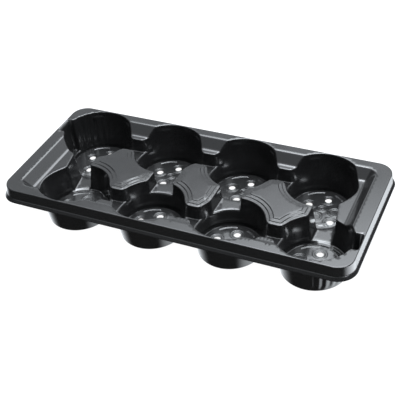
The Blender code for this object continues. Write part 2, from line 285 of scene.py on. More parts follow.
def deck_relief(x, y):
    """Height of the stepped panels on the islands."""
    inside = island_distance(x, y)
    on_island = (np.abs(x) < OUTER_FAR_X) & (np.abs(y) < ISLAND_TIP_Y)
    rise = sum(PANEL_RISE * smooth(inside, step, step + PANEL_SLOPE) for step in PANEL_STEPS)
    return np.where(on_island, rise, 0.0)


def drain_holes(pocket):
    """Centres of a pocket's drain holes, in the pocket's own directions, and whether each is punched."""
    holes = []
    for quarter in range(4):
        angle = DRAIN_TURN + quarter * math.pi / 2
        punched = quarter not in UNPUNCHED.get(pocket.name, ())
        holes.append((DRAIN_CENTRE[0] + DRAIN_CIRCLE * math.cos(angle),
                      DRAIN_CENTRE[1] + DRAIN_CIRCLE * math.sin(angle), punched))
    return holes + [(x, y, True) for x, y in EXTRA_HOLES.get(pocket.name, ())]


def floor_relief(pocket, dx, dy, radius, angle):
    """Ribs and rings on a pocket's floor, in the pocket's own directions."""
    rise = np.zeros_like(dx)
    for middle, half in RIM_RIBS:
        ends = smooth(half - np.abs(angle % 180 - middle), 0, RIM_RIB_END)
        rise = np.maximum(rise, RIM_RIB_RISE * ridge(radius - RIM_RIB_RADIUS, RIM_RIB_HALF) * ends)
    for hole_x, hole_y, _ in drain_holes(pocket):
        away = np.hypot(dx - hole_x, dy - hole_y)
        for ring in DRAIN_RINGS:
            rise = np.maximum(rise, RING_RISE * ridge(away - ring, RING_HALF))
    away = np.hypot(dx - DRAIN_CENTRE[0], dy - DRAIN_CENTRE[1])
    for ring in MIDDLE_RINGS:
        rise = np.maximum(rise, RING_RISE * ridge(away - ring, RING_HALF))
    return rise


def survey(x, y):
    """Everything about points of the plan that does not depend on height."""
    plan = SimpleNamespace(x=x, y=y, out=outside_rim(x, y), pan=inside_pan(x, y), rise=deck_relief(x, y),
                           pockets=[])
    for pocket in POCKETS:
        index = np.nonzero(np.hypot(x - pocket.x, y - pocket.y) < POCKET_REACH)[0]
        # Front pockets are the back ones turned by 180 degrees.
        dx, dy = pocket.side * (x[index] - pocket.x), pocket.side * (y[index] - pocket.y)
        radius, angle = np.hypot(dx, dy), np.degrees(np.arctan2(dy, dx))
        lean = dy / np.maximum(radius, MM)
        part = SimpleNamespace(pocket=pocket, index=index, dx=dx, dy=dy, radius=radius)
        part.rate = ISLAND_RATE + (OUTWARD_RATE - ISLAND_RATE) * smooth(lean, *ISLAND_LEAN)
        part.pad = sum(smooth(half - np.abs(angle - middle), 0, PAD_SIDE) for middle, half in WALL_PADS)
        part.flute = 0.0
        if pocket.bulge:
            spread = smooth(angle, *FLUTES_START) * (1 - smooth(angle, *FLUTES_END))
            part.flute = FLUTE_DEPTH * spread * np.cos(np.radians((angle - FLUTE_CREST) * 360 / FLUTE_PITCH))
        part.gutter = GUTTER
        if pocket.neck:
            towards = (NECK_LEAN * pocket.neck * pocket.side * dx - dy) / np.maximum(radius, MM)
            filled = smooth(towards, *NECK_MOUTH) * smooth(radius, PLATEAU_RADIUS - MM, PLATEAU_RADIUS)
            part.gutter = GUTTER + (FLOOR - GUTTER) * filled
        part.rise = floor_relief(pocket, dx, dy, radius, angle)
        plan.pockets.append(part)
    return plan


def pocket_air(part, z, relief):
    """Space inside one pocket."""
    pad = PAD_DEPTH * part.pad * smooth(z, *PAD_FOOT) * (1 - smooth(z, *PAD_TOP))
    wall = FOOT_RADIUS + part.rate * z - pad + part.flute * smooth(z, *FLUTE_FOOT)
    wall = (wall - part.radius) * math.cos(math.atan(OUTWARD_RATE))
    if part.pocket.bulge:
        bulge = rounded_meet(BULGE_REACH - BULGE_REACH_RATE * (TOP - z) + part.dx,
                             BULGE_HALF - BULGE_HALF_RATE * (TOP - z) - np.abs(part.dy), BULGE_CORNER)
        bulge = rounded_meet(np.minimum(bulge, -part.dx - FOOT_RADIUS / 2), z - BULGE_FLOOR, BULGE_FILLET)
        wall = rounded_union(wall, bulge, BULGE_EDGE)
    top = z - FLOOR - (part.rise if relief else 0)
    floor = rounded_union(top, part.radius - PLATEAU_RADIUS - PLATEAU_RATE * (FLOOR - z), FLOOR_EDGE)
    floor = np.maximum(rounded_meet(floor, z - part.gutter, GUTTER_FILLET), top)
    return rounded_meet(wall, floor, POCKET_FILLET)


def channel_air(x, y, z):
    """Space in the webs, saddles and necks between the pockets."""
    space = np.full_like(x, NO_SPACE)
    for web in WEBS:
        across, u = web.side * y, x - web.x
        lift = CHANNEL_DRAFT * (z - WEB)
        gap = rounded_meet(tongue_foot(u) + lift - across, across - island_foot(u) + lift, CHANNEL_CORNER)
        gap = rounded_meet(gap, z - WEB, CHANNEL_FILLET)
        space = np.maximum(space, np.minimum(gap, WEB_HALF - np.abs(u)))
    for side in (-1, 1):
        along, v = side * x, side * y
        lift = CHANNEL_DRAFT * (z - DECK)
        gap = rounded_meet(along - CENTRE_TIP_X + lift, OUTER_NEAR_X - along + lift, CHANNEL_CORNER)
        gap = rounded_meet(gap, z - WEB, CHANNEL_FILLET)
        space = np.maximum(space, np.minimum(gap, SADDLE_HALF - np.abs(v)))
        lift = NECK_DRAFT * (z - DECK)
        lobe = LOBE_TIP_X + LOBE_SLANT * (LOBE_TIP_Y - v)
        gap = rounded_meet(along - OUTER_FAR_X + lift, lobe - along + lift, CHANNEL_CORNER)
        gap = rounded_meet(gap, z - NECK, CHANNEL_FILLET)
        for pocket in POCKETS:
            if pocket.neck == side:
                gap = np.minimum(gap, np.hypot(x - pocket.x, y - pocket.y) - PLATEAU_RADIUS)
        space = np.maximum(space, np.minimum(gap, NECK_HALF - np.abs(v)))
    return space


def skirt_air(out, z):
    """Space outside the skirt and above the lip."""
    rate = SKIRT_FLARE / (TOP - LIP_TOP)
    skirt = (out - rate * (TOP - z)) * math.cos(math.atan(rate))
    fall = (z - LIP_TOP + LIP_FALL * (out - LIP_LEDGE)) * math.cos(math.atan(LIP_FALL))
    above_lip = rounded_meet(skirt, rounded_union(z - LIP_TOP, fall, LIP_ROUND), LIP_FILLET)
    beyond = np.minimum(out - LIP_EDGE - LIP_EDGE_RATE * (LIP_TOP - z), z - LIP_BASE)
    return rounded_union(above_lip, beyond, LIP_ROUND)


def deck_air(plan, z, relief):
    """Space over the rim, down the slopes and over the deck."""
    slope = (z - TOP + plan.pan) * math.sqrt(0.5)
    pan = rounded_meet(slope, z - DECK - (plan.rise if relief else 0), DECK_FILLET)
    return rounded_union(pan, z - TOP, RIM_EDGE)


def air(plan, z, relief=True, pockets=True):
    """Clearance above the tray: positive in the air, negative in the sheet and under it."""
    space = rounded_union(deck_air(plan, z, relief), skirt_air(plan.out, z), RIM_EDGE)
    hollow = channel_air(plan.x, plan.y, z)
    if pockets:
        for part in plan.pockets:
            index = part.index
            hollow[index] = rounded_union(hollow[index], pocket_air(part, z[index], relief), WALL_CORNER)
    return rounded_union(space, hollow, TOP_EDGE)


def surface(plan, **options):
    """Height of the surface over the points of a plan."""
    low = np.full_like(plan.x, -MM)
    high = np.full_like(plan.x, TOP + MM)
    for _ in range(HALVINGS):
        middle = (low + high) / 2
        under = air(plan, middle, **options) < 0
        low = np.where(under, middle, low)
        high = np.where(under, high, middle)
    return (low + high) / 2


def normals(plan, z, **options):
    """Unit normals of the surface, towards the air."""
    step = NORMAL_STEP
    x, y = plan.x, plan.y
    normal = np.stack([air(survey(x + step, y), z, **options) - air(survey(x - step, y), z, **options),
                       air(survey(x, y + step), z, **options) - air(survey(x, y - step), z, **options),
                       air(plan, z + step, **options) - air(plan, z - step, **options)], axis=-1)
    return normal / np.linalg.norm(normal, axis=-1, keepdims=True)


# ---------------------------------------------------------------- the triangulated plan

# Points round a corner of the rim, a pocket's border, a pocket's ring, a drain ring and a rib
CORNER_STEPS = 14
BORDER_STEPS = 180
POCKET_STEPS = 120
RING_STEPS = 28
RIB_STEPS = 24
# Points along the end walls of the channels and along an island's end
WEB_STEPS = 25
SADDLE_STEPS = 35
NECK_STEPS = 43
ISLAND_END_STEPS = 49

# Offsets of the lines: from the rim's edge outward, from its inner edge inward, from the feet of the end
# walls outward, and the radii round a pocket. They stand close where the surface bends, and the borders
# between the pieces are among them.
LIP_LINES = (LIP_OUT, LIP_CUT, LIP_EDGE - 0.15 * MM, LIP_EDGE - 0.4 * MM)
SKIRT_LINES = np.array((4.4, 3.7, 3.1, 2.75, 2.6, 2.45, 2.3, 2.2, 2.0, 1.8, 1.4, 0.8, 0.2, 0.0,
                        -0.25, -0.55, -0.8, -1.0, -1.3, -3.0)) * MM
PAN_LINES = np.array((-1.3, -0.9, -0.5, -0.2, 0.1, 0.45, 0.8, 1.2, 1.7, 3.5, 7.0, 10.5,
                      13.7, 14.1, 14.6, 15.1, 15.6)) * MM
CHANNEL_LINES = np.array((-1.7, -0.9, -0.4, -0.05, 0.2, 0.6, 1.1, 1.4, 1.8, 2.4)) * MM
NECK_LINES = np.array((-1.6, -0.9, -0.4, 0.0, 1.5, 3.0, 4.5, 5.4, 5.8, 6.2, 6.8)) * MM
FLOOR_RINGS = np.arange(3, 43, 3.5) * MM
POCKET_RINGS = np.array((42.9, 43.3, 43.6, 43.9, 44.2, 44.6, 45.0, 45.5, 46.2, 46.9, 47.5, 47.9,
                         48.2, 48.5, 48.8, 49.2, *np.arange(49.7, 60.0, 0.65))) * MM
# Lines across a ring, a rib and a panel's step, from one edge to the other
RING_ROWS = (-1, -0.5, 0, 0.5, 1)
RIB_ROWS = (-1, -0.6, -0.2, 0.2, 0.6, 1)
PANEL_ROWS = 4
RIM_SPACING = 8 * MM
PAN_SPACING = 6 * MM
FILL_SPACING = 5 * MM
LEAST_CORNER = 0.2 * MM
LEAST_DOTS = 8
MERGE = 0.001 * MM        # points nearer than this become one

SKIRT_START = 1.0 * MM    # the skirt's piece starts this far inside the rim's edge
BORDER_START = 46 * MM    # a pocket's border is looked for from here outward, in steps
BORDER_STEP = 0.5 * MM
BORDER_DROP = 0.03 * MM   # and lies where the wall is no longer this far below the deck
BORDER_GAP = 0.15 * MM    # rings stop this far inside it
CHANNEL_OVERLAP = 1.0 * MM     # the channels' lines reach this far across it
FILL_RIM_GAP = 3 * MM
FILL_POCKET_GAP = 1.5 * MM
ON_LINE = 0.02 * MM       # how near to its inset a panel's line has to stay

# Sides are split where they miss the surface by more than this, in two rounds, down to the finest length
REFINE = (0.15 * MM, 0.12 * MM)
FINEST = 0.5 * MM


class Drawing:
    """Points and lines of the plan that the triangulation has to keep."""

    def __init__(self):
        self.points = []
        self.edges = []

    def line(self, points, keep=None, closed=False):
        """Adds a line through points; a stretch is left out where keep is false at one of its ends."""
        keep = np.ones(len(points), bool) if keep is None else keep
        index = np.full(len(points), -1)
        index[keep] = len(self.points) + np.arange(keep.sum())
        self.points.extend(points[keep].tolist())
        following = np.roll(index, -1)
        if not closed:
            following[-1] = -1
        both = (index >= 0) & (following >= 0)
        self.edges.extend(np.stack([index[both], following[both]], axis=1).tolist())

    def dots(self, points):
        """Adds loose points."""
        self.points.extend(points.tolist())


def circle(centre_x, centre_y, radius, count):
    """Points at even steps round a circle."""
    turn = np.arange(count) * 2 * math.pi / count
    return np.stack([centre_x + radius * np.cos(turn), centre_y + radius * np.sin(turn)], axis=1)


def frame_line(half_x, half_y, corner, spacing):
    """Closed outline of a rectangle with round corners."""
    corner = max(corner, LEAST_CORNER)
    points = []
    sides = (((half_x, -half_y + corner), (half_x, half_y - corner)),
             ((half_x - corner, half_y), (-half_x + corner, half_y)),
             ((-half_x, half_y - corner), (-half_x, -half_y + corner)),
             ((-half_x + corner, -half_y), (half_x - corner, -half_y)))
    for quarter, (start, end) in enumerate(sides):
        start, end = np.array(start), np.array(end)
        count = max(int(np.linalg.norm(end - start) / spacing), 1)
        points += [start + (end - start) * k / count for k in range(count)]
        middle = end + corner * np.array(((-1, 0), (0, -1), (1, 0), (0, 1))[quarter])
        bends = np.radians(90 * quarter + np.linspace(0, 90, CORNER_STEPS + 1)[:-1])
        points += [middle + corner * np.array((math.cos(bend), math.sin(bend))) for bend in bends]
    return np.array(points)


def heights(points, **options):
    """Height of the surface over an array of points."""
    return surface(survey(points[:, 0].copy(), points[:, 1].copy()), **options)


def pocket_borders():
    """For each pocket, the radius where its wall has run out into the deck, at even steps round it."""
    turn = np.radians(np.arange(BORDER_STEPS) * 360 / BORDER_STEPS)
    reach = np.arange(BORDER_START, POCKET_REACH - MM, BORDER_STEP)
    borders = {}
    for pocket in POCKETS:
        x = (pocket.x + np.outer(np.cos(turn), reach)).ravel()
        y = (pocket.y + np.outer(np.sin(turn), reach)).ravel()
        plan = survey(x, y)
        lower = surface(plan) < surface(plan, pockets=False) - BORDER_DROP
        lower = (lower & (plan.out < -SKIRT_START)).reshape(BORDER_STEPS, -1)
        border = reach[np.argmin(lower, axis=1)]
        borders[pocket.name] = (border + np.roll(border, 1) + np.roll(border, -1)) / 3
    return borders


BORDERS = pocket_borders()


def border_radius(pocket, x, y):
    """Radius of a pocket's border in the directions of points."""
    turn = np.degrees(np.arctan2(y - pocket.y, x - pocket.x)) % 360
    steps = np.arange(BORDER_STEPS + 1) * 360 / BORDER_STEPS
    return np.interp(turn, steps, np.append(BORDERS[pocket.name], BORDERS[pocket.name][0]))


def draw_rim(drawing):
    """Lines round the lip, the skirt, the rim and the slopes."""
    for out in (*LIP_LINES, *SKIRT_LINES):
        points = frame_line(HALF_X + out, HALF_Y + out, RIM_CORNER + out, RIM_SPACING)
        keep = outside_pockets(points, 0.0) if out < 0 else None
        drawing.line(points, keep, closed=True)
    for inset in PAN_LINES:
        points = frame_line(PAN_X - inset, PAN_Y - inset, PAN_CORNER - inset, PAN_SPACING)
        drawing.line(points, outside_pockets(points, 0.0), closed=True)


def outside_pockets(points, margin):
    """True for points that lie outside every pocket's border by a margin."""
    keep = np.ones(len(points), bool)
    for pocket in POCKETS:
        away = np.hypot(points[:, 0] - pocket.x, points[:, 1] - pocket.y)
        keep &= away > border_radius(pocket, points[:, 0], points[:, 1]) + margin
    return keep


def draw_pocket(drawing, pocket):
    """Lines round a pocket's wall, its border, its drain rings and its ribs, and dots on its floor."""
    for radius in POCKET_RINGS:
        points = circle(pocket.x, pocket.y, radius, POCKET_STEPS)
        border = border_radius(pocket, points[:, 0], points[:, 1])
        drawing.line(points, radius < border - BORDER_GAP, closed=True)
    drawing.line(circle(pocket.x, pocket.y, BORDERS[pocket.name], BORDER_STEPS), closed=True)
    for radius in FLOOR_RINGS:
        drawing.dots(circle(pocket.x, pocket.y, radius, max(int(radius / MM), LEAST_DOTS)))
    centres = [(x, y, DRAIN_RINGS) for x, y, _ in drain_holes(pocket)] + [DRAIN_CENTRE + (MIDDLE_RINGS,)]
    for x, y, rings in centres:
        x, y = pocket.x + pocket.side * x, pocket.y + pocket.side * y
        for ring in rings:
            for row in RING_ROWS:
                drawing.line(circle(x, y, ring + row * RING_HALF, RING_STEPS), closed=True)
        if rings is DRAIN_RINGS:
            drawing.line(circle(x, y, DRAIN_RADIUS, RING_STEPS), closed=True)
    for middle, half in RIM_RIBS:
        for turned in (0, 180):
            bends = np.radians(np.linspace(middle - half, middle + half, RIB_STEPS) + turned)
            for row in RIB_ROWS:
                radius = RIM_RIB_RADIUS + row * RIM_RIB_HALF
                x, y = pocket.x + radius * np.cos(bends), pocket.y + radius * np.sin(bends)
                drawing.line(np.stack([x, y], axis=1))


def draw_channels(drawing):
    """Lines along the feet and tops of the walls that end the channels."""
    for web in WEBS:
        u = np.linspace(-WEB_HALF, WEB_HALF, WEB_STEPS)
        for foot, outward in ((tongue_foot, 1), (island_foot, -1)):
            for shift in CHANNEL_LINES:
                y = foot(u) + outward * shift
                points = np.stack([web.x + u, web.side * y], axis=1)
                drawing.line(points, outside_pockets(points, -CHANNEL_OVERLAP))
    for side in (-1, 1):
        v = np.linspace(-SADDLE_HALF, SADDLE_HALF, SADDLE_STEPS)
        rise = CHANNEL_DRAFT * (DECK - WEB)
        for edge, outward in ((CENTRE_TIP_X + rise, -1), (OUTER_NEAR_X - rise, 1)):
            for shift in CHANNEL_LINES:
                points = np.stack([np.full_like(v, side * (edge + outward * shift)), side * v], axis=1)
                drawing.line(points, outside_pockets(points, -CHANNEL_OVERLAP))
        v = np.linspace(-NECK_HALF, NECK_HALF, NECK_STEPS)
        rise = NECK_DRAFT * (DECK - NECK)
        for edge, slant, outward in ((OUTER_FAR_X + rise, 0, -1), (LOBE_TIP_X - rise, LOBE_SLANT, 1)):
            for shift in NECK_LINES:
                x = edge + slant * (LOBE_TIP_Y - v) + outward * shift
                points = np.stack([side * x, side * v], axis=1)
                drawing.line(points, outside_pockets(points, -CHANNEL_OVERLAP))


def draw_panel_line(drawing, points, inset):
    """Draws the part of a line that lies on the islands, at one distance from their outline."""
    x, y = points.T
    near = np.abs(island_distance(x, y) - inset) < ON_LINE
    drawing.line(points, near & (np.abs(x) < OUTER_FAR_X) & (np.abs(y) < ISLAND_TIP_Y))


def draw_panels(drawing):
    """Lines along the steps of the islands' panels."""
    insets = [step + row * PANEL_SLOPE for step in PANEL_STEPS for row in np.linspace(0, 1, PANEL_ROWS)]
    for pocket in POCKETS:
        for inset in insets:
            points = circle(pocket.x, pocket.y, ISLAND_SIDE_RADIUS + inset, POCKET_STEPS)
            draw_panel_line(drawing, points, inset)
    u = np.linspace(-WEB_HALF, WEB_HALF, ISLAND_END_STEPS)
    for inset in insets:
        for web in WEBS:
            points = np.stack([web.x + u, np.full_like(u, web.side * (ISLAND_TIP_Y - inset))], axis=1)
            draw_panel_line(drawing, points, inset)
        for side in (-1, 1):
            for end, facing in ISLAND_ENDS:
                points = np.stack([np.full_like(u, side * (end - facing * inset)), u], axis=1)
                draw_panel_line(drawing, points, inset)


def triangulate(points, edges):
    """Points, edges and triangles of a triangulation that keeps the edges."""
    found = delaunay_2d_cdt([Vector(point) for point in points], edges, [], 0, MERGE)
    return np.array([vertex[:] for vertex in found[0]]), found[1], np.array(found[2])


def fill_points():
    """Staggered points over the deck and the rim."""
    across = np.arange(-HALF_X, HALF_X, FILL_SPACING)
    along = np.arange(-HALF_Y, HALF_Y, FILL_SPACING)
    fill = np.stack([values.ravel() for values in np.meshgrid(across, along)], axis=1)
    fill[:, 0] += np.where(np.round((fill[:, 1] + HALF_Y) / FILL_SPACING) % 2, FILL_SPACING / 2, 0)
    inside = outside_rim(fill[:, 0], fill[:, 1]) < -FILL_RIM_GAP
    return fill[inside & outside_pockets(fill, FILL_POCKET_GAP)]


def triangle_sides(faces):
    """The three sides of each triangle, in turn for all first, second and third sides."""
    return np.concatenate([faces[:, [0, 1]], faces[:, [1, 2]], faces[:, [2, 0]]])


def plan_mesh():
    """Triangles of the whole plan, finer where the surface bends."""
    drawing = Drawing()
    draw_rim(drawing)
    for pocket in POCKETS:
        draw_pocket(drawing, pocket)
    draw_channels(drawing)
    draw_panels(drawing)
    drawing.dots(fill_points())
    points, edges, faces = triangulate(drawing.points, drawing.edges)
    tolerances = REFINE
    for tolerance in tolerances:
        z = heights(points)
        a, b = np.unique(np.sort(triangle_sides(faces), axis=1), axis=0).T
        middle = (points[a] + points[b]) / 2
        length = np.linalg.norm(points[a] - points[b], axis=1)
        chord = np.hypot(length, z[a] - z[b])
        # The miss is measured square to the chord, so that a steep wall is not refined for nothing.
        miss = np.abs(heights(middle) - (z[a] + z[b]) / 2) * length / np.maximum(chord, MERGE)
        bad = (miss > tolerance) & (length > FINEST)
        points = np.concatenate([points, middle[bad]])
        points, edges, faces = triangulate(points.tolist(), edges)
    return points, faces


# ---------------------------------------------------------------- the pieces

FLOOR_BORDER = 47.9 * MM       # radius where a pocket's floor passes into its wall
RIM_PIECE_EDGE = 0.45 * MM     # the rim's piece ends this far down the slope
LIP_START = 2.2 * MM           # the lip's piece starts this far outside the rim's edge
LIP_SOLID = (4.8 * MM, 5.4 * MM)    # the sheet thickens into a solid edge between these
WEB_REACH = 30 * MM            # a web and its shoulder lie this near to the web's middle
STRAY_ROUNDS = 4
TINY = 1e-12                   # keeps the length of a strip's normal above nothing


def region_names(x, y):
    """The CAD node that each point of the plan belongs to."""
    out, pan = outside_rim(x, y), inside_pan(x, y)
    names = np.full(len(x), "island_centre", dtype=object)
    right, wide = x > 0, np.abs(x)
    rise = CHANNEL_DRAFT * (DECK - WEB)
    names[wide > CENTRE_TIP_X + rise] = "saddle"
    names[wide > OUTER_NEAR_X - rise] = "island"
    v = np.where(right, y, -y)
    neck_rise = NECK_DRAFT * (DECK - NECK)
    names[wide > OUTER_FAR_X + neck_rise] = "neck"
    names[wide > LOBE_TIP_X - neck_rise + LOBE_SLANT * (LOBE_TIP_Y - v)] = "end_deck"
    sided = names != "island_centre"
    names[sided] += np.where(right[sided], "_right", "_left")
    for web in WEBS:
        across = web.side * y
        near = (np.abs(x - web.x) < WEB_REACH) & (across > island_foot(x - web.x))
        names[near] = "web_" + web.name
        names[near & (across > tongue_foot(x - web.x))] = "shoulder_" + web.name
    names[pan < RIM_PIECE_EDGE] = "rim_flange"
    for pocket in POCKETS:
        radius = np.hypot(x - pocket.x, y - pocket.y)
        names[radius < border_radius(pocket, x, y)] = "pocket_wall_" + pocket.name
        names[radius < FLOOR_BORDER] = "pocket_floor_" + pocket.name
    names[out > -SKIRT_START] = "rim_skirt"
    names[out > LIP_START] = "edge_lip"
    return names


def side_table(faces):
    """Sides of the triangles: their end points, and the one or two triangles on each."""
    halves = triangle_sides(faces)
    owner = np.tile(np.arange(len(faces)), 3)
    ends, where = np.unique(np.sort(halves, axis=1), axis=0, return_inverse=True)
    order = np.argsort(where.ravel(), kind="stable")
    where = where.ravel()[order]
    first = np.searchsorted(where, np.arange(len(ends)))
    count = np.bincount(where, minlength=len(ends))
    owners = np.full((len(ends), 2), -1)
    owners[:, 0] = owner[order[first]]
    owners[count == 2, 1] = owner[order[first[count == 2] + 1]]
    return ends, owners


def tidy_regions(labels, faces):
    """Gives each stray patch of triangles to the neighbour that it touches most."""
    _, owners = side_table(faces)
    a, b = owners[owners[:, 1] >= 0].T
    for _ in range(STRAY_ROUNDS):
        patch = np.arange(len(faces))
        same = labels[a] == labels[b]
        while True:
            lower = np.minimum(patch[a[same]], patch[b[same]])
            before = patch.copy()
            np.minimum.at(patch, a[same], lower)
            np.minimum.at(patch, b[same], lower)
            patch = patch[patch]
            if np.array_equal(before, patch):
                break
        size = np.bincount(patch, minlength=len(faces))
        stray = np.ones(len(faces), bool)
        for label in np.unique(labels):
            patches = np.unique(patch[labels == label])
            stray[patch == patches[np.argmax(size[patches])]] = False
        if not stray.any():
            break
        touching = np.concatenate([np.stack([a, b], 1), np.stack([b, a], 1)])
        touching = touching[stray[touching[:, 0]] & (patch[touching[:, 0]] != patch[touching[:, 1]])]
        for number in np.unique(patch[stray]):
            others = labels[touching[patch[touching[:, 0]] == number, 1]]
            if len(others):
                labels[patch == number] = np.bincount(others).argmax()
    return labels


def part_corners(faces):
    """Numbers the triangles' corners so that parts of a piece that only touch at a point share no vertex."""
    ends, owners = side_table(faces)
    border = ends[owners[:, 1] < 0]
    uses = np.bincount(border.ravel(), minlength=faces.max() + 1)
    fresh = faces.max() + 1
    copies = {}
    for vertex in np.nonzero(uses > 2)[0]:
        around = [tuple(spot) for spot in np.argwhere(faces == vertex)]
        first = True
        while around:
            fan = [around.pop()]
            rim = set(faces[fan[0][0]]) - {vertex}
            grown = True
            while grown:
                grown = False
                for spot in list(around):
                    if rim & (set(faces[spot[0]]) - {vertex}):
                        rim |= set(faces[spot[0]]) - {vertex}
                        fan.append(spot)
                        around.remove(spot)
                        grown = True
            if not first:
                for triangle, corner in fan:
                    copies[(triangle, corner)] = (fresh, vertex)
                fresh += 1
            first = False
    source = np.arange(fresh)
    corners = faces.copy()
    for (triangle, corner), (number, vertex) in copies.items():
        corners[triangle, corner] = number
        source[number] = vertex
    return corners, source


def add_object(name, mesh):
    """A new object in the scene."""
    made = bpy.data.objects.new(name, mesh)
    bpy.context.scene.collection.objects.link(made)
    return made


def build_piece(name, faces, top, bottom, top_normal, bottom_normal):
    """One closed piece: the surface, its underside, and a strip round every border."""
    faces, source = part_corners(faces)
    used, faces = np.unique(faces, return_inverse=True)
    faces = faces.reshape(-1, 3)
    source = source[used]
    count = len(used)
    halves = triangle_sides(faces)
    keys = halves[:, 0] * count + halves[:, 1]
    border = halves[~np.isin(halves[:, 1] * count + halves[:, 0], keys)]
    a, b = border.T
    strips = np.stack([b, a, a + count, b + count], axis=1)
    points = np.concatenate([top[source], bottom[source]])
    under = faces[:, ::-1] + count
    across = np.cross(points[b + count] - points[a], points[a + count] - points[b])
    across /= np.maximum(np.linalg.norm(across, axis=1, keepdims=True), TINY)
    loops = np.concatenate([faces.ravel(), under.ravel(), strips.ravel()])
    shading = np.concatenate([top_normal[source][faces.ravel()],
                              bottom_normal[source][under.ravel() - count],
                              np.repeat(across, 4, axis=0)])
    starts = np.concatenate([np.arange(2 * len(faces)) * 3, 6 * len(faces) + np.arange(len(strips)) * 4])
    mesh = bpy.data.meshes.new(name)
    mesh.vertices.add(len(points))
    mesh.vertices.foreach_set("co", points.ravel())
    mesh.loops.add(len(loops))
    mesh.loops.foreach_set("vertex_index", loops)
    mesh.polygons.add(len(starts))
    mesh.polygons.foreach_set("loop_start", starts)
    mesh.polygons.foreach_set("use_smooth", np.ones(len(starts), bool))
    mesh.update(calc_edges=True)
    mesh.normals_split_custom_set(shading.tolist())
    mesh.materials.append(plastic)
    return add_object(name, mesh)


def trimmed(points, faces):
    """The triangles inside the lip's cut edge and outside the drain holes, all facing up."""
    middle = points[faces].mean(axis=1)
    keep = outside_rim(middle[:, 0], middle[:, 1]) < LIP_CUT
    for pocket in POCKETS:
        for x, y, punched in drain_holes(pocket):
            if punched:
                away = np.hypot(middle[:, 0] - pocket.x - pocket.side * x,
                                middle[:, 1] - pocket.y - pocket.side * y)
                keep &= away > DRAIN_RADIUS * math.cos(math.pi / RING_STEPS)
    corner = points[faces]
    area = np.cross(corner[:, 1] - corner[:, 0], corner[:, 2] - corner[:, 0])
    faces[area < 0] = faces[area < 0][:, ::-1]
    return faces[keep]


def sheet_sides(points):
    """The sheet's upper and under side over the points of the plan, and their normals."""
    plan = survey(points[:, 0].copy(), points[:, 1].copy())
    height = surface(plan)
    plain = surface(plan, relief=False)
    top = np.column_stack([points, height])
    top_normal = normals(plan, height)
    base_normal = normals(plan, plain, relief=False)
    bottom = top - SHEET * base_normal
    # The lip's edge is solid down to the lip's base.
    solid = smooth(plan.out, *LIP_SOLID)[:, None]
    base = np.column_stack([points, np.full(len(points), LIP_BASE)])
    bottom += (base - bottom) * solid
    bottom_normal = -base_normal + (np.array((0, 0, -1)) + base_normal) * solid
    return top, bottom, top_normal, bottom_normal


def build_tray():
    """Every region of the sheet as a closed piece in place of its CAD node."""
    points, faces = plan_mesh()
    faces = trimmed(points, faces)
    names = region_names(*points[faces].mean(axis=1).T)
    order, labels = np.unique(names.astype(str), return_inverse=True)
    labels = tidy_regions(labels, faces)
    sides = sheet_sides(points)
    for label, name in enumerate(order):
        piece = build_piece("tray_" + name, faces[labels == label], *sides)
        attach(piece, "root")
        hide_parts(name)


# ---------------------------------------------------------------- material

BASE_COLOUR = (0.012, 0.012, 0.0122, 1)
PLASTIC_IOR = 1.5
ROUGHNESS = 0.15
ROUGHNESS_SPREAD = 0.03   # soft clouds of a little more and less gloss
CLOUD_SCALE = 28.0
CLOUD_RANGE = (0.3, 0.7)
GRAIN_SCALE = 900.0       # the fine grain of the formed sheet
GRAIN_STRENGTH = 0.02
GRAIN_DEPTH = 0.1 * MM


def node(tree, kind, inputs=(), **settings):
    """A new shader node, with its settings, and with each input given as a value or a socket to link."""
    made = tree.nodes.new(kind)
    for name, value in settings.items():
        setattr(made, name, value)
    for key, value in dict(inputs).items():
        if isinstance(value, bpy.types.NodeSocket):
            tree.links.new(value, made.inputs[key])
        else:
            made.inputs[key].default_value = value
    return made


def black_plastic():
    """Glossy black sheet with slightly uneven gloss and a fine grain."""
    material = bpy.data.materials.new("black_plastic")
    material.use_nodes = True
    tree = material.node_tree
    shader = tree.nodes["Principled BSDF"]
    place = node(tree, "ShaderNodeTexCoord").outputs["Object"]
    cloud = node(tree, "ShaderNodeTexNoise", {"Vector": place, "Scale": CLOUD_SCALE, "Detail": 4.0})
    grain = node(tree, "ShaderNodeTexNoise", {"Vector": place, "Scale": GRAIN_SCALE, "Detail": 2.0})
    spread = node(tree, "ShaderNodeMapRange",
                  {"Value": cloud.outputs["Fac"], "From Min": CLOUD_RANGE[0], "From Max": CLOUD_RANGE[1],
                   "To Min": ROUGHNESS - ROUGHNESS_SPREAD, "To Max": ROUGHNESS + ROUGHNESS_SPREAD})
    tree.links.new(spread.outputs["Result"], shader.inputs["Roughness"])
    bump = node(tree, "ShaderNodeBump",
                {"Height": grain.outputs["Fac"], "Strength": GRAIN_STRENGTH, "Distance": GRAIN_DEPTH})
    tree.links.new(bump.outputs["Normal"], shader.inputs["Normal"])
    shader.inputs["Base Color"].default_value = BASE_COLOUR
    shader.inputs["IOR"].default_value = PLASTIC_IOR
    return material


plastic = black_plastic()
build_tray()


# ---------------------------------------------------------------- floor, light and camera

FLOOR_LEVEL = -0.3 * MM
FLOOR_HALF = 30.0
BACKDROP_HALF = 28.0
FLOOR_GREY = 0.08
MATT = 0.9
GLOW = 1.0

LIGHT_COLOUR = (0.95, 1.0, 1.05, 1)
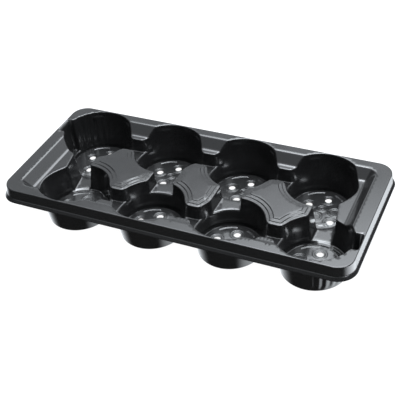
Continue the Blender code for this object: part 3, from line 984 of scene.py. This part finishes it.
# Each light is a patch of the sky: its direction, its brightness, the angles in degrees from its middle
# where it starts to fade and where it is gone, and the heights of a unit direction that it stays between.
ALL_HEIGHTS = (-2, 2)
LIGHTS = (
    ((0, 0, 1), 0.05, 30, 170, ALL_HEIGHTS),
    ((-0.05, 0.37, 0.93), 8.0, 18, 34, ALL_HEIGHTS),
    ((-0.05, 0.28, 0.96), 14.0, 6, 18, ALL_HEIGHTS),
    ((-0.05, 0.37, 0.93), 0.8, 33, 62, ALL_HEIGHTS),
    ((0.55, 0.65, 0.53), 1.2, 8, 26, ALL_HEIGHTS),
    ((-0.35, -0.56, 0.75), 0.7, 10, 30, ALL_HEIGHTS),
    ((0.68, -0.19, 0.68), 12.0, 6, 16, ALL_HEIGHTS),
    ((0.85, 0.35, -0.3), 5.0, 25, 56, (-0.62, -0.32)),
    ((0.55, 0.15, -0.82), 3.0, 8, 34, ALL_HEIGHTS),
    ((-0.6, 0.7, -0.4), 1.8, 10, 60, ALL_HEIGHTS),
)
LIGHT_FADE = 0.06         # height over which a patch fades at its limits

VIEW = (27.34, 38.54, -5.26)   # azimuth, elevation and roll in degrees
DISTANCE = 1.2473
TARGET = (0.0292, -0.0493, 0.067)
LENS = 76.6
SENSOR = 36
NEAREST = 0.05


def glowing_white(name, grey, specular):
    """Plain material that shines evenly, and reflects as much as its grey and specular level say."""
    material = bpy.data.materials.new(name)
    material.use_nodes = True
    shader = material.node_tree.nodes["Principled BSDF"]
    shader.inputs["Base Color"].default_value = (grey, grey, grey, 1)
    shader.inputs["Roughness"].default_value = MATT
    shader.inputs["Specular IOR Level"].default_value = specular
    shader.inputs["Emission Color"].default_value = (1, 1, 1, 1)
    shader.inputs["Emission Strength"].default_value = GLOW
    return material


def white_floor():
    """Plain pale floor, which the glossy plastic doesn't mirror."""
    size = FLOOR_HALF
    mesh = bpy.data.meshes.new("floor")
    mesh.from_pydata([(-size, -size, 0), (size, -size, 0), (size, size, 0), (-size, size, 0)], [],
                     [(0, 1, 2, 3)])
    mesh.materials.append(glowing_white("pale_floor", FLOOR_GREY, 0.5))
    floor = add_object("floor", mesh)
    floor.location.z = FLOOR_LEVEL
    floor.visible_glossy = False


def white_backdrop():
    """Plain walls far off, which only the camera sees."""
    size = BACKDROP_HALF
    corners = [(x, y, z) for x in (-size, size) for y in (-size, size) for z in (-size, size)]
    walls = [(0, 1, 3, 2), (4, 6, 7, 5), (0, 4, 5, 1), (2, 3, 7, 6), (0, 2, 6, 4), (1, 5, 7, 3)]
    mesh = bpy.data.meshes.new("backdrop")
    mesh.from_pydata(corners, [], walls)
    mesh.materials.append(glowing_white("pale_backdrop", 0, 0))
    backdrop = add_object("backdrop", mesh)
    for ray in ("diffuse", "glossy", "transmission", "volume_scatter", "shadow"):
        setattr(backdrop, "visible_" + ray, False)


def fade(tree, value, gone, full, power=1.0):
    """Goes smoothly from 0 to power as a value goes from gone to full."""
    inputs = {"Value": value, "From Min": gone, "From Max": full, "To Max": power}
    return node(tree, "ShaderNodeMapRange", inputs, interpolation_type="SMOOTHSTEP").outputs["Result"]


def combine(tree, operation, a, b):
    """Result of a sum or product of two values."""
    return node(tree, "ShaderNodeMath", {0: a, 1: b}, operation=operation).outputs[0]


def studio_light():
    """Soft boxes all round, as a sum of smooth patches over the directions."""
    world = bpy.data.worlds.new("studio")
    bpy.context.scene.world = world
    world.use_nodes = True
    tree = world.node_tree
    direction = node(tree, "ShaderNodeTexCoord").outputs["Generated"]
    height = node(tree, "ShaderNodeSeparateXYZ", {"Vector": direction}).outputs["Z"]
    total = 0.0
    for middle, power, inner, outer, (lowest, highest) in LIGHTS:
        inputs = {0: direction, 1: Vector(middle).normalized()}
        near = node(tree, "ShaderNodeVectorMath", inputs, operation="DOT_PRODUCT").outputs["Value"]
        patch = fade(tree, near, math.cos(math.radians(outer)), math.cos(math.radians(inner)), power)
        above = fade(tree, height, lowest - LIGHT_FADE, lowest)
        below = fade(tree, height, highest + LIGHT_FADE, highest)
        light = combine(tree, "MULTIPLY", patch, combine(tree, "MULTIPLY", above, below))
        total = combine(tree, "ADD", total, light)
    background = tree.nodes["Background"]
    tree.links.new(total, background.inputs["Strength"])
    background.inputs["Color"].default_value = LIGHT_COLOUR


def camera():
    """Camera at the photograph's viewing angle, turned about the tray by azimuth, elevation and roll."""
    azimuth, elevation, roll = (math.radians(angle) for angle in VIEW)
    back = Vector((math.sin(azimuth) * math.cos(elevation), -math.cos(azimuth) * math.cos(elevation),
                   math.sin(elevation)))
    across = Vector((math.cos(azimuth), math.sin(azimuth), 0))
    upward = back.cross(across)
    right = math.cos(roll) * across + math.sin(roll) * upward
    up = -math.sin(roll) * across + math.cos(roll) * upward
    turn = Matrix((right, up, back)).transposed()
    lens = bpy.data.cameras.new("camera")
    lens.lens = LENS
    lens.sensor_width = SENSOR
    lens.clip_start = NEAREST
    eye = add_object("camera", lens)
    eye.matrix_world = Matrix.Translation(Vector(TARGET) + back * DISTANCE) @ turn.to_4x4()
    bpy.context.scene.camera = eye


white_floor()
white_backdrop()
studio_light()
camera()
bpy.context.scene.view_settings.view_transform = "Standard"

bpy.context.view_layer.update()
